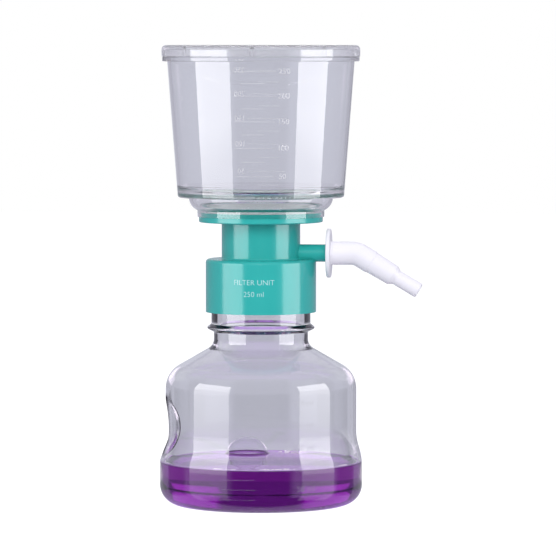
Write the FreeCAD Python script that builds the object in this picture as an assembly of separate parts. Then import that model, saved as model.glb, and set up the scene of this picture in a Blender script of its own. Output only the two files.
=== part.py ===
"""A 250 ml bottle-top vacuum filtration unit, in millimetres.

The Z axis is the unit's own axis, and z = 0 is the surface that the bottle stands on. The vacuum
port points along +X. From the bottom up: a blown receiver bottle with a little filtrate in it, a
one-piece filter base that screws onto its neck, a membrane lying on the base's support grid, a
clear funnel welded over the membrane, and a loose lid.
"""

import FreeCAD, Part
import math
import os

V = FreeCAD.Vector
ORIGIN = V(0, 0, 0)
X_AXIS = V(1, 0, 0)
Y_AXIS = V(0, 1, 0)
Z_AXIS = V(0, 0, 1)

# ---- Bottle: body, shoulder and base ----
bottle_waist_r = 42.0
foot_flare = 2.6
bottle_wall = 1.3
foot_corner = 8.8
foot_straight_top = 20.3
waist_bottom = 29.6
waist_curve = 24.0
shoulder_z = 57.9
shoulder_curve = 11.7
shoulder_slope = 30.0
base_ring_inset = 13.6
base_push_up = 2.6
base_ring_round = 3.0

# ---- Bottle: grip recess on one side ----
grip_angle = 185.0
grip_z = 34.0
grip_depth = 5.2
grip_ball_r = 14.5
grip_edge_round = 5.0

# ---- Bottle: neck and finish ----
neck_bore_r = 19.2
neck_wall = 1.5
neck_root_curve = 4.8
bead_rise = 7.7
bead_half_height = 1.8
bead_reach = 3.5
bead_nose_round = 0.7
neck_land_rise = 1.1
neck_land_height = 8.4
finish_height = 27.0
finish_wall = 1.8
lip_round = 0.5

# ---- Screw thread between the bottle's neck and the filter base's collar ----
thread_pitch = 4.0
thread_turns = 1.75
thread_depth = 1.2
thread_root_width = 1.9
thread_crest_width = 0.9
thread_top_gap = 4.0
thread_flank_gap = 0.35
thread_side_gap = 0.5
thread_sink = 0.3

# ---- Filtrate ----
liquid_level = 19.0
liquid_gap = 0.05

# ---- Neck seal ----
seal_thickness = 1.5
seal_overhang = 1.2
seal_side_gap = 0.35

# ---- Filter base: collar and neck ----
collar_wall = 1.6
collar_skirt = 20.0
collar_roof = 1.8
collar_edge_round = 1.5
collar_mouth_chamfer = 0.6
collar_ledge = 7.0
base_neck_wall = 1.6
base_neck_length = 16.2
base_fillet = 0.8

# ---- Filter base: flange ----
flange_step = 0.75
flange_band = 2.4
flange_edge_round = 0.5
flange_rim_wall = 1.5
flange_gussets = 12
gusset_thickness = 1.0
spigot_margin = 1.5
spigot_height = 1.8

# ---- Filter base: membrane support and drain ----
plate_thickness = 1.5
drain_floor_depth = 1.0
drain_slope = 3.3
ring_ribs = 6
ring_rib_width = 0.7
inner_rib_r = 6.0
drain_channels = 12
channel_width = 1.4
spout_bore_r = 2.6
spout_root_wall = 1.6
spout_tip_wall = 1.1
spout_reach = 5.4

# ---- Filter base: vacuum port ----
port_rise = 2.6
port_r = 3.85
port_bore_r = 2.35
port_overhang = 12.2
port_end_chamfer = 0.4

# ---- Plug in the vacuum port ----
plug_length = 8.0
plug_inset = 3.5
plug_gap = 0.05

# ---- Hose barb ----
barb_disc_gap = 4.8
barb_disc_r = 10.8
barb_disc_thickness = 1.8
barb_disc_round = 0.5
barb_hub_r = 5.15
barb_running_gap = 0.05
barb_socket_end_gap = 0.3
barb_bend_reach = 13.1
barb_bend_angle = 31.0
barb_bend_r = 7.5
barb_bore_r = 2.0
barb_sleeve_length = 7.7
barb_large_r = 4.9
barb_large_taper = 0.3
barb_large_length = 10.7
barb_step_length = 2.2
barb_small_r = 3.35
barb_small_length = 11.4
barb_tip_chamfer = 0.5
barb_edge_round = 0.25

# ---- Membrane ----
membrane_r = 25.0
membrane_thickness = 0.3
membrane_side_gap = 0.1

# ---- Funnel ----
funnel_wall = 1.5
funnel_ledge = 4.85
funnel_taper = 4.4
funnel_outer_corner = 1.0
funnel_inner_corner = 4.2
funnel_rise = 8.5
funnel_wall_height = 59.6
skirt_wall = 1.4
skirt_gap = 0.05
bowl_step = 3.75
bowl_depth = 6.15
bowl_edge_round = 0.7
clamp_width = 1.5
clamp_lip = 1.0
rim_flange_width = 2.2
rim_flange_thickness = 2.1
rim_height = 3.2
rim_round = 0.4

# ---- Lid ----
lid_overhang = 0.3
lid_height = 5.0
lid_wall = 1.2
lid_edge_round = 2.0
lid_lugs = 8
lug_width = 1.8
lug_nose_round = 0.5
lug_rim_gap = 0.35
lug_bottom_gap = 0.4


def tan(degrees):
    return math.tan(math.radians(degrees))


def cos(degrees):
    return math.cos(math.radians(degrees))


def sin(degrees):
    return math.sin(math.radians(degrees))


# ---- Radii that follow from the sizes above: bottle and neck, collar and port, disc and cup ----
bottle_foot_r = bottle_waist_r + foot_flare
base_ring_r = bottle_foot_r - base_ring_inset
neck_root_r = neck_bore_r + neck_wall
bead_r = neck_root_r + bead_reach
neck_land_r = neck_root_r + neck_land_rise
thread_core_r = neck_bore_r + finish_wall
seal_bore_r = neck_bore_r - seal_overhang
collar_bore_r = thread_core_r + thread_depth + thread_side_gap
collar_r = collar_bore_r + collar_wall
base_neck_r = collar_r - collar_ledge
base_bore_r = base_neck_r - base_neck_wall
port_end_x = collar_r + port_overhang
barb_disc_x = collar_r + barb_disc_gap
barb_bend_x = barb_disc_x + barb_bend_reach
clamp_r = membrane_r - clamp_width
spigot_r = membrane_r + spigot_margin
flange_r = spigot_r + flange_step
skirt_r = spigot_r + skirt_wall
bowl_r = skirt_r + bowl_step
funnel_foot_r = bowl_r + funnel_ledge


def shoulder_height(r):
    """Height of the outer shoulder cone's line at a radius."""
    return shoulder_z + (bottle_waist_r - r) * tan(shoulder_slope)


def wall_r(z):
    """Outer radius of the funnel's tapered wall at a height."""
    return funnel_foot_r + (z - ledge_z) * tan(funnel_taper)


# ---- Heights, and the rims that follow from them ----
bead_z = shoulder_height(neck_root_r) + bead_rise
lip_z = bead_z + finish_height
roof_bottom_z = lip_z + seal_thickness
roof_top_z = roof_bottom_z + collar_roof
port_z = roof_top_z + port_rise
flange_bottom_z = roof_top_z + base_neck_length
flange_top_z = flange_bottom_z + flange_band
support_z = flange_top_z + spigot_height
membrane_top_z = support_z + membrane_thickness
ledge_z = flange_top_z + funnel_rise
rim_flange_z = ledge_z + funnel_wall_height
rim_flange_top_z = rim_flange_z + rim_flange_thickness
rim_top_z = rim_flange_top_z + rim_height
rim_flange_r = wall_r(rim_flange_z) + rim_flange_width
lid_r = rim_flange_r + lid_overhang


# ---- Drawing helpers: a section in the r-z plane, turned about the Z axis ----
def rounded_corner(before, corner, after, radius):
    """The two tangent points and the middle of the arc that rounds a corner of a section."""
    to_before = (before - corner).normalize()
    to_after = (after - corner).normalize()
    half = to_before.getAngle(to_after) / 2
    reach = radius / math.tan(half)
    start = corner + to_before * reach
    end = corner + to_after * reach
    middle_line = (to_before + to_after).normalize()
    middle = corner + middle_line * (radius / math.sin(half) - radius)
    return start, middle, end


def section(corners):
    """A closed face in the XZ plane from (r, z) or (r, z, rounding radius) corners."""
    points = [V(corner[0], 0, corner[1]) for corner in corners]
    turns = []
    for i, corner in enumerate(corners):
        if len(corner) == 3:
            after = points[(i + 1) % len(points)]
            turns.append(rounded_corner(points[i - 1], points[i], after, corner[2]))
        else:
            turns.append((points[i], None, points[i]))
    edges = []
    for i, (start, middle, end) in enumerate(turns):
        if middle is not None:
            edges.append(Part.Arc(start, middle, end).toShape())
        following = turns[(i + 1) % len(turns)][0]
        if end.distanceToPoint(following) > 1e-6:
            edges.append(Part.makeLine(end, following))
    return Part.Face(Part.Wire(edges))


def turned(corners):
    """A section turned a full circle about the Z axis."""
    return section(corners).revolve(ORIGIN, Z_AXIS, 360)


def ring(r_in, r_out, z_low, z_high):
    """A plain ring, or a disc where its inner radius is nothing."""
    return turned([(r_in, z_low), (r_out, z_low), (r_out, z_high), (r_in, z_high)])


def rod_x(r, x_start, x_end):
    """A plain rod along the port's axis."""
    return Part.makeCylinder(r, x_end - x_start, V(x_start, 0, port_z), X_AXIS)


def around(shape, count):
    """Copies of a shape evenly spaced about the Z axis."""
    copies = []
    for i in range(count):
        copy = shape.copy()
        copy.rotate(ORIGIN, Z_AXIS, 360.0 * i / count)
        copies.append(copy)
    return copies


def helical_ridge(wall_r, outward, z_start):
    """A right-hand thread ridge of trapezoidal section, its root sunk into the wall it stands on."""
    root_r = wall_r - outward * thread_sink
    crest_r = wall_r + outward * thread_depth
    corners = [
        V(root_r, 0, -thread_root_width / 2),
        V(crest_r, 0, -thread_crest_width / 2),
        V(crest_r, 0, thread_crest_width / 2),
        V(root_r, 0, thread_root_width / 2),
    ]
    helix = Part.makeHelix(thread_pitch, thread_pitch * thread_turns, root_r)
    outline = Part.makePolygon(corners + corners[:1])
    ridge = Part.Wire(helix.Edges).makePipeShell([outline], True, True)
    ridge.translate(V(0, 0, z_start))
    return ridge


# ---- Bottle ----
def bottle_skin():
    """The outside of the bottle as one turned solid, neck bead and lip included."""
    bead_high = bead_z + bead_half_height
    land_top = bead_high + neck_land_height
    return turned([
        (0, base_push_up),
        (base_ring_r, 0, base_ring_round),
        (bottle_foot_r, 0, foot_corner),
        (bottle_foot_r, foot_straight_top, waist_curve),
        (bottle_waist_r, waist_bottom, waist_curve),
        (bottle_waist_r, shoulder_z, shoulder_curve),
        (neck_root_r, shoulder_height(neck_root_r), neck_root_curve),
        (neck_root_r, bead_z - bead_half_height),
        (bead_r, bead_z, bead_nose_round),
        (neck_land_r, bead_high),
        (neck_land_r, land_top),
        (thread_core_r, land_top + neck_land_r - thread_core_r),
        (thread_core_r, lip_z, lip_round),
        (0, lip_z),
    ])


def bottle_cavity(gap):
    """The room inside the bottle up to the lip, drawn in by a gap all round."""
    wall = bottle_wall + gap
    slope_drop = wall / cos(shoulder_slope)
    inner_r = bottle_waist_r - wall
    bore_r = neck_bore_r - gap
    return turned([
        (0, base_push_up + wall),
        (base_ring_r, wall, base_ring_round + wall),
        (bottle_foot_r - wall, wall, foot_corner - wall),
        (bottle_foot_r - wall, foot_straight_top, waist_curve - wall),
        (inner_r, waist_bottom, waist_curve + wall),
        (inner_r, shoulder_height(inner_r) - slope_drop, shoulder_curve - wall),
        (bore_r, shoulder_height(bore_r) - slope_drop, neck_root_curve),
        (bore_r, lip_z),
        (0, lip_z),
    ])


def grip_centre():
    """Centre of the ball that presses the grip recess into the side of the bottle."""
    centre_r = bottle_waist_r - grip_depth + grip_ball_r
    return V(centre_r * cos(grip_angle), centre_r * sin(grip_angle), grip_z)


def is_grip_face(face):
    """Whether a face of a body is the one left by the pressing ball."""
    surface = face.Surface
    return isinstance(surface, Part.Sphere) and surface.Center.distanceToPoint(grip_centre()) < 1e-3


def with_grip(body, wall):
    """A turned body with the recess pressed in, a wall deeper, and the recess's rim rounded."""
    pressed = body.cut(Part.makeSphere(grip_ball_r + wall, grip_centre()))
    rim = []
    for edge in pressed.Edges:
        sides = pressed.ancestorsOfType(edge, Part.Face)
        if sum(is_grip_face(face) for face in sides) == 1:
            rim.append(edge)
    return pressed.makeFillet(grip_edge_round - wall, rim)


def thread_start_z():
    """Height at which the middle of the bottle's thread begins."""
    return lip_z - thread_top_gap - thread_pitch * thread_turns


def bottle():
    """One blown piece with its thread, bead, grip recess and pushed-up base."""
    skin = with_grip(bottle_skin(), 0)
    thread = helical_ridge(thread_core_r, 1, thread_start_z())
    cavity = with_grip(bottle_cavity(0), bottle_wall)
    return skin.fuse(thread).cut(cavity)


def liquid():
    """The filtrate that lies in the bottle's foot."""
    below = Part.makeCylinder(bottle_foot_r, liquid_level)
    return bottle_cavity(liquid_gap).common(below)


# ---- Neck seal ----
def neck_seal():
    """The soft ring between the bottle's lip and the collar's roof."""
    return ring(seal_bore_r, collar_bore_r - seal_side_gap, lip_z, roof_bottom_z)


# ---- Filter base ----
def drain_floor(r):
    """Height of the sloping floor between the support ribs at a radius."""
    return support_z - drain_floor_depth - (clamp_r - r) * tan(drain_slope)


def base_body():
    """Collar, neck and flange as one turned solid, hollow below the support plate."""
    collar_bottom_z = lip_z - collar_skirt
    outside = turned([
        (0, collar_bottom_z),
        (collar_r, collar_bottom_z),
        (collar_r, roof_top_z, collar_edge_round),
        (base_neck_r, roof_top_z, base_fillet),
        (base_neck_r, flange_bottom_z, base_fillet),
        (flange_r, flange_bottom_z, flange_edge_round),
        (flange_r, flange_top_z),
        (spigot_r, flange_top_z),
        (spigot_r, support_z),
        (0, support_z),
    ])
    inside = turned([
        (0, collar_bottom_z),
        (collar_bore_r + collar_mouth_chamfer, collar_bottom_z),
        (collar_bore_r, collar_bottom_z + collar_mouth_chamfer),
        (collar_bore_r, roof_bottom_z),
        (base_bore_r, roof_bottom_z),
        (base_bore_r, drain_floor(base_bore_r) - plate_thickness),
        (0, drain_floor(0) - plate_thickness),
    ])
    return outside.cut(inside)


def flange_pockets():
    """The moulder's hollow under the flange, left as pockets between radial gussets."""
    pocket_top = drain_floor(base_neck_r) - plate_thickness
    pocket_r = flange_r - flange_rim_wall
    hollow = ring(base_neck_r + base_fillet, pocket_r, flange_bottom_z - base_fillet, pocket_top)
    gusset = Part.makeBox(flange_r, gusset_thickness, pocket_top, V(0, -gusset_thickness / 2, 0))
    return hollow.cut(around(gusset, flange_gussets))


def support_grooves():
    """The room around the support ribs: broken rings that the membrane lies on."""
    bowl = turned([
        (0, drain_floor(0)),
        (clamp_r, drain_floor(clamp_r)),
        (clamp_r, support_z),
        (0, support_z),
    ])
    channel = Part.makeBox(clamp_r, channel_width, support_z, V(0, -channel_width / 2, 0))
    channels = around(channel, drain_channels)
    spacing = (clamp_r - inner_rib_r) / ring_ribs
    for i in range(ring_ribs):
        low_r = inner_rib_r + spacing * i - ring_rib_width / 2
        rib = ring(low_r, low_r + ring_rib_width, drain_floor(0), support_z)
        bowl = bowl.cut(rib.cut(channels))
    return bowl


def spout():
    """The tapered tube that carries the filtrate past the port, down into the bottle's neck."""
    root_z = drain_floor(spout_bore_r) - plate_thickness / 2
    return turned([
        (0, roof_bottom_z - spout_reach),
        (spout_bore_r + spout_tip_wall, roof_bottom_z - spout_reach),
        (spout_bore_r + spout_root_wall, root_z),
        (0, root_z),
    ])


def port_stub():
    """The side tube that the hose barb is pushed onto, rooted in the neck's wall."""
    stub = rod_x(port_r, base_neck_r - base_neck_wall / 2, port_end_x)
    end = [edge for edge in stub.Edges if abs(edge.CenterOfMass.x - port_end_x) < 1e-3]
    return stub.makeChamfer(port_end_chamfer, end)


def collar_thread():
    """The female ridge, a flank's gap below the bottle's own."""
    flank = (thread_root_width - thread_crest_width) / 2 / (thread_depth + thread_sink)
    overlap = thread_depth - thread_side_gap
    drop = thread_crest_width + flank * overlap + thread_flank_gap
    return helical_ridge(collar_bore_r, -1, thread_start_z() - drop)


def filter_base():
    """One moulded piece: threaded collar, hollow neck, port, drain spout, flange and grid."""
    drain = Part.makeCylinder(spout_bore_r, support_z)
    port_bore = rod_x(port_bore_r, spout_bore_r + spout_root_wall * 2, port_end_x)
    solid = base_body().fuse([spout(), port_stub(), collar_thread()])
    return solid.cut([flange_pockets(), support_grooves(), drain, port_bore])


# ---- Plug in the vacuum port ----
def port_plug():
    """The porous plug that keeps droplets out of the vacuum line."""
    plug_end_x = port_end_x - plug_inset
    return rod_x(port_bore_r - plug_gap, plug_end_x - plug_length, plug_end_x)


# ---- Hose barb ----
def along_hub(shape):
    """A piece drawn along Z, laid along the hub from the disc's back face."""
    shape.rotate(ORIGIN, Y_AXIS, 90)
    shape.translate(V(barb_disc_x, 0, port_z))
    return shape


def along_tail(shape):
    """A piece drawn along Z, laid along the tail from the corner of the bend."""
    shape.rotate(ORIGIN, Y_AXIS, 90 + barb_bend_angle)
    shape.translate(V(barb_bend_x, 0, port_z))
    return shape


def bend_reach():
    """Length from the corner of the bend to the start or end of its arc."""
    return barb_bend_r * tan(barb_bend_angle / 2)


def elbow(r):
    """A round rod through the bend, from the hub's axis to the tail's."""
    start = V(barb_bend_x - bend_reach(), 0, port_z)
    circle = Part.Face(Part.Wire(Part.makeCircle(r, start, X_AXIS)))
    return circle.revolve(start - Z_AXIS * barb_bend_r, Y_AXIS, barb_bend_angle)


def barb_head():
    """The grip disc and the straight hub behind it."""
    hub_end = barb_bend_x - bend_reach() - barb_disc_x
    return along_hub(turned([
        (0, 0),
        (barb_disc_r, 0, barb_disc_round),
        (barb_disc_r, barb_disc_thickness, barb_disc_round),
        (barb_hub_r, barb_disc_thickness, barb_disc_round),
        (barb_hub_r, hub_end),
        (0, hub_end),
    ]))


def barb_tail():
    """The stepped tail that two sizes of vacuum tubing fit."""
    large_end = barb_sleeve_length + barb_large_length
    small_start = large_end + barb_step_length
    tip = small_start + barb_small_length
    return along_tail(turned([
        (0, bend_reach()),
        (barb_hub_r, bend_reach()),
        (barb_hub_r, barb_sleeve_length, barb_edge_round),
        (barb_large_r, barb_sleeve_length),
        (barb_large_r - barb_large_taper, large_end, barb_edge_round),
        (barb_small_r, small_start),
        (barb_small_r, tip - barb_tip_chamfer),
        (barb_small_r - barb_tip_chamfer, tip),
        (0, tip),
    ]))


def hose_barb():
    """The bent connector that turns on the port's stub."""
    socket_end = port_end_x + barb_socket_end_gap
    socket = rod_x(port_r + barb_running_gap, barb_disc_x, socket_end)
    hub_bore = rod_x(barb_bore_r, socket_end, barb_bend_x - bend_reach())
    tail_end = barb_sleeve_length + barb_large_length + barb_step_length + barb_small_length
    tail_bore = along_tail(ring(0, barb_bore_r, bend_reach(), tail_end))
    solid = barb_head().fuse([elbow(barb_hub_r), barb_tail()])
    return solid.cut([socket, hub_bore, elbow(barb_bore_r), tail_bore])


# ---- Membrane ----
def membrane():
    """The filter disc, lying on the support ribs and clamped at its edge."""
    return ring(0, membrane_r, support_z, membrane_top_z)


# ---- Funnel ----
def funnel_outside():
    """Quarter-round bowl, ledge, tapered wall, rim flange and rim, with the skirt below."""
    bowl_low_z = ledge_z - bowl_depth
    cup = turned([
        (0, bowl_low_z),
        (bowl_r, bowl_low_z, bowl_depth),
        (bowl_r, ledge_z),
        (funnel_foot_r, ledge_z, funnel_outer_corner),
        (wall_r(rim_flange_z), rim_flange_z),
        (rim_flange_r, rim_flange_z, rim_round),
        (rim_flange_r, rim_flange_top_z, rim_round),
        (wall_r(rim_flange_top_z), rim_flange_top_z),
        (wall_r(rim_top_z), rim_top_z, rim_round),
        (0, rim_top_z),
    ])
    return cup.fuse(ring(0, skirt_r, flange_top_z, ledge_z))


def funnel_inside():
    """The room for the sample, from the membrane to the rim."""
    bowl_low_z = ledge_z - bowl_depth + funnel_wall
    floor_z = ledge_z + funnel_wall
    bowl_in_r = bowl_r - funnel_wall
    return turned([
        (0, membrane_top_z),
        (clamp_r, membrane_top_z),
        (clamp_r, membrane_top_z + clamp_lip),
        (bowl_r - bowl_depth, bowl_low_z),
        (bowl_in_r, bowl_low_z, bowl_depth - funnel_wall),
        (bowl_in_r, floor_z, bowl_edge_round),
        (wall_r(floor_z) - funnel_wall, floor_z, funnel_inner_corner),
        (wall_r(rim_top_z) - funnel_wall, rim_top_z),
        (0, rim_top_z),
    ])


def funnel():
    """One moulded cup whose foot traps the membrane and is welded around the base's spigot."""
    spigot_seat = ring(0, spigot_r + skirt_gap, flange_top_z, support_z)
    membrane_seat = ring(0, membrane_r + membrane_side_gap, support_z, membrane_top_z)
    return funnel_outside().cut([funnel_inside(), spigot_seat, membrane_seat])


# ---- Lid ----
def lug(outer_r, lug_top_z):
    """An upright rib with a rounded nose that keeps the lid's skirt off the rim."""
    nose_r = wall_r(rim_top_z) + lug_rim_gap
    lug_bottom_z = rim_flange_top_z + lug_bottom_gap
    corner = V(nose_r, -lug_width / 2, lug_bottom_z)
    bar = Part.makeBox(outer_r - nose_r, lug_width, lug_top_z - lug_bottom_z, corner)
    nose = [edge for edge in bar.Edges if abs(edge.tangentAt(0).z) > 0.5 and edge.CenterOfMass.x < nose_r + 1e-6]
    return bar.makeFillet(lug_nose_round, nose)


def lid():
    """A loose cover whose skirt rests on the rim flange, with lugs that leave an air gap."""
    top_z = rim_flange_top_z + lid_height
    skirt_in = lid_r - lid_wall
    shell = turned([
        (0, top_z - lid_wall),
        (skirt_in, top_z - lid_wall, lid_edge_round - lid_wall),
        (skirt_in, rim_flange_top_z),
        (lid_r, rim_flange_top_z),
        (lid_r, top_z, lid_edge_round),
        (0, top_z),
    ])
    return shell.fuse(around(lug(skirt_in + lid_wall / 3, top_z - lid_wall / 2), lid_lugs))


PIECES = {
    "bottle": bottle,
    "liquid": liquid,
    "neck_seal": neck_seal,
    "filter_base": filter_base,
    "port_plug": port_plug,
    "hose_barb": hose_barb,
    "membrane": membrane,
    "funnel": funnel,
    "lid": lid,
}

os.makedirs("parts", exist_ok=True)
for name, make in PIECES.items():
    shape = make()
    solids = shape.Solids
    print(f"{name}: {len(solids)} solid, {shape.Volume / 1000:.2f} cm3, valid {shape.isValid()}")
    solids[0].exportStep(f"parts/{name}.step")
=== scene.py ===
# %% [markdown]
# # A bottle-top vacuum filter, dressed and lit
#
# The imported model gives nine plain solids: a receiver bottle with filtrate in it, a neck seal, a
# screw-on filter base with its plug, membrane and funnel, a hose barb and a lid. This lesson keeps
# their shapes and adds what a solid can't show: clear and coloured plastics, liquid that wets its
# bottle, bubbles, moulded scales and a printed collar. Everything is in metres, in the model's own
# frame, with Z up and the vacuum port along +X.

import math

import bmesh
import bpy
from mathutils import Matrix, Vector
from mathutils.bvhtree import BVHTree


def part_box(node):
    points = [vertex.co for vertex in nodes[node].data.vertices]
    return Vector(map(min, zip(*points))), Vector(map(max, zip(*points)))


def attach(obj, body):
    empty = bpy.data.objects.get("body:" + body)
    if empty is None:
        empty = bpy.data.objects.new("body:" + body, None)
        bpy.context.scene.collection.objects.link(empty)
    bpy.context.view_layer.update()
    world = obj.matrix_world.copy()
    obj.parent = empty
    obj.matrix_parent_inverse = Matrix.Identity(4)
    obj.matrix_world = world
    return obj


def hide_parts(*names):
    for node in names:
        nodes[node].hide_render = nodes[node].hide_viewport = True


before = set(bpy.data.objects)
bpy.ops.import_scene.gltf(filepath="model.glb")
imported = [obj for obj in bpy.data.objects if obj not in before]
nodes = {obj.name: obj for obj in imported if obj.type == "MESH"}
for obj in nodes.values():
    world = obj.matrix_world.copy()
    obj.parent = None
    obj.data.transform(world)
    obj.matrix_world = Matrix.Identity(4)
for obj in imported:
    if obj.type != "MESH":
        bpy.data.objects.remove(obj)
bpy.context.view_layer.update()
scene = bpy.context.scene
mm = 0.001
print("nodes:", ", ".join(sorted(nodes)))

# %% [markdown]
# ## Nodes written as arithmetic
#
# Shaders and Geometry Nodes are both trees of nodes. Wiring them by hand is long, and hides the
# sum that they work out. A small wrapper round an output socket lets Python's own operators add
# the Math nodes, also where the number comes first, and one method adds any other node: settings
# first, because they change which sockets a node has, and then values or links.

# %% A wire, and a tree that makes them
class Wire:
    """One output of a node, on which Python's arithmetic adds Math nodes."""

    def __init__(self, tree, socket):
        self.tree = tree
        self.socket = socket

    def maths(self, operation, *operands):
        """A Math node on the operands, in their order."""
        return self.tree.add("ShaderNodeMath", {"operation": operation}, dict(enumerate(operands)))[0]

    def __add__(self, other):
        return self.maths("ADD", self, other)

    def __sub__(self, other):
        return self.maths("SUBTRACT", self, other)

    def __rsub__(self, other):
        return self.maths("SUBTRACT", other, self)

    def __mul__(self, other):
        return self.maths("MULTIPLY", self, other)

    def __truediv__(self, other):
        return self.maths("DIVIDE", self, other)

    def __rtruediv__(self, other):
        return self.maths("DIVIDE", other, self)

    __radd__ = __add__
    __rmul__ = __mul__


class Made:
    """A node that was added. Indexing it by a name or a number gives that output as a wire."""

    def __init__(self, tree, node):
        self.tree = tree
        self.node = node

    def __getitem__(self, key):
        return Wire(self.tree, pick_socket(self.node.outputs, key))


class Tree:
    """A node tree with one method that adds any node."""

    def __init__(self, tree):
        self.tree = tree

    def add(self, kind, settings=None, values=None):
        """A node, with its settings made before its sockets get values or wires."""
        node = self.tree.nodes.new(kind)
        for name, setting in (settings or {}).items():
            setattr(node, name, setting)
        for key, value in (values or {}).items():
            socket = pick_socket(node.inputs, key)
            if isinstance(value, Wire):
                self.tree.links.new(value.socket, socket)
            else:
                socket.default_value = value
        return Made(self, node)


def pick_socket(sockets, key):
    """A socket by its number, or the first one in use that has that name."""
    if isinstance(key, int):
        return sockets[key]
    return next(socket for socket in sockets if socket.name == key and socket.enabled)


print("wrapper ready")

# %% [markdown]
# ## One recipe for every finish
#
# Nearly all of the pieces are moulded plastic, and the liquid and its bubbles can be made the same
# way, so all finishes share a recipe. Two noises on Object coordinates stay put when a piece turns.
# A slow one shifts the colour a little, as thickness and cooling do, and a fine one breaks up the
# gloss and gives the skin its grain. Only colour, roughness and the normal vary. What is the same
# all over, such as the index of refraction, is set on the socket itself.

# %% The shared recipe
def emptied(owner):
    """The node tree of a material, world or lamp, with nothing in it."""
    owner.use_nodes = True
    owner.node_tree.nodes.clear()
    return Tree(owner.node_tree)


def shade_between(tree, factor, first, second):
    """The colour that lies between two by a factor. The first may be a wire."""
    start = first if isinstance(first, Wire) else (*first, 1)
    colours = {"Factor": factor, "A": start, "B": (*second, 1)}
    return tree.add("ShaderNodeMix", {"data_type": "RGBA"}, colours)["Result"]


def between(tree, value, low, high):
    """Nothing up to one value and one from another, smooth between."""
    limits = {"Value": value, "From Min": low, "From Max": high}
    return tree.add("ShaderNodeMapRange", {"interpolation_type": "SMOOTHSTEP"}, limits)["Result"]


def window(tree, value, limits, soft):
    """One between two limits and nothing beyond them, with soft edges outside."""
    low, high = limits
    return between(tree, value, low - soft, low) * between(tree, value, high + soft, high)


def noise(tree, place, size_mm, detail):
    """A noise with lumps of about a given size."""
    values = {"Vector": place, "Scale": 1 / (size_mm * mm), "Detail": detail}
    return tree.add("ShaderNodeTexNoise", {}, values)[0]


def moulded(name, light, dark, rough, grain_mm=0.6, cloud_mm=14, grain_depth=0.01, **fixed):
    """A moulded finish: a cloudy colour between two shades, a range of roughness and a grain."""
    material = bpy.data.materials.new(name)
    tree = emptied(material)
    place = tree.add("ShaderNodeTexCoord")["Object"]
    cloud = noise(tree, place, cloud_mm, 2.0)
    grain = noise(tree, place, grain_mm, 3.0)
    skin = {"Height": grain, "Strength": 1.0, "Distance": grain_depth * mm}
    values = {
        "Base Color": shade_between(tree, cloud, dark, light),
        "Roughness": rough[0] + grain * (rough[1] - rough[0]),
        "Normal": tree.add("ShaderNodeBump", {}, skin)[0],
    }
    for socket, value in fixed.items():
        values[socket.replace("_", " ")] = value
    surface = tree.add("ShaderNodeBsdfPrincipled", {}, values)
    tree.add("ShaderNodeOutputMaterial", {}, {"Surface": surface[0]})
    return material


# %% [markdown]
# ## Clear polystyrene
#
# The bottle, funnel and lid are crystal-clear polystyrene, which bends light a good deal. They are
# solids with real walls, so a refracting surface is the right tool and not a see-through one. The
# tint is barely there. The grain is far slower than on the opaque parts, like the faint swirl of a
# moulded wall. The lid is a little hazy. The bottle has the funnel's values in a finish of its own,
# because the next step paints dark lines of shade into it.

# %% Clear plastic
polystyrene_index = 1.59
clear_values = {
    "light": (1.0, 1.0, 1.0),
    "dark": (0.982, 0.982, 0.995),
    "rough": (0.0, 0.03),
    "grain_mm": 9,
    "grain_depth": 0.012,
    "IOR": polystyrene_index,
    "Transmission_Weight": 1.0,
}
clear = moulded("clear_polystyrene", **clear_values)
hazy = moulded(
    "hazy_polystyrene",
    light=(1.0, 1.0, 1.0),
    dark=(0.975, 0.975, 0.99),
    rough=(0.07, 0.13),
    grain_mm=3,
    IOR=polystyrene_index,
    Transmission_Weight=0.93,
)
bottle_wall_painted_shade = moulded("bottle_polystyrene_painted_shade", **clear_values)
for name, finish in {"bottle": bottle_wall_painted_shade, "funnel": clear, "lid": hazy}.items():
    nodes[name].data.materials[0] = finish
    nodes[name].visible_shadow = False
    print(name, "is", finish.name)

# %% [markdown]
# ## Painted dark lines of shade where the wall turns away
#
# A clear wall that is seen nearly edge on bends light far to the side, and a fine dark line runs
# along it: inside the neck, and round the grip recess. Black cards beside the bottle would draw
# such lines too, but they show as black shapes from other sides. So these lines are painted shade:
# the bottle's finish mixes in a dark matt colour where the surface turns away from the view, and
# only in these two places.

# %% Paint the dark lines of shade
def distances(tree):
    """A point's X, its height and its distance from the axis."""
    place = tree.add("ShaderNodeTexCoord")["Object"]
    parts = tree.add("ShaderNodeSeparateXYZ", {}, {0: place})
    flat = tree.add("ShaderNodeVectorMath", {"operation": "MULTIPLY"}, {0: place, 1: (1, 1, 0)})["Vector"]
    reach = tree.add("ShaderNodeVectorMath", {"operation": "LENGTH"}, {0: flat})["Value"]
    return parts["X"], parts["Z"], reach


def lay_over(material, share, colour):
    """A matt colour laid over a share of a finish."""
    tree = Tree(material.node_tree)
    finish = Wire(tree, material.node_tree.nodes["Principled BSDF"].outputs[0])
    matt = tree.add("ShaderNodeBsdfDiffuse", {}, {"Color": (*colour, 1)})
    mixed = tree.add("ShaderNodeMixShader", {}, {0: share, 1: finish, 2: matt[0]})
    output = material.node_tree.nodes["Material Output"]
    material.node_tree.links.new(mixed[0].socket, output.inputs["Surface"])


# Painted shade: a dark matt colour laid over the bottle's wall where it turns away from the view.
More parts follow.
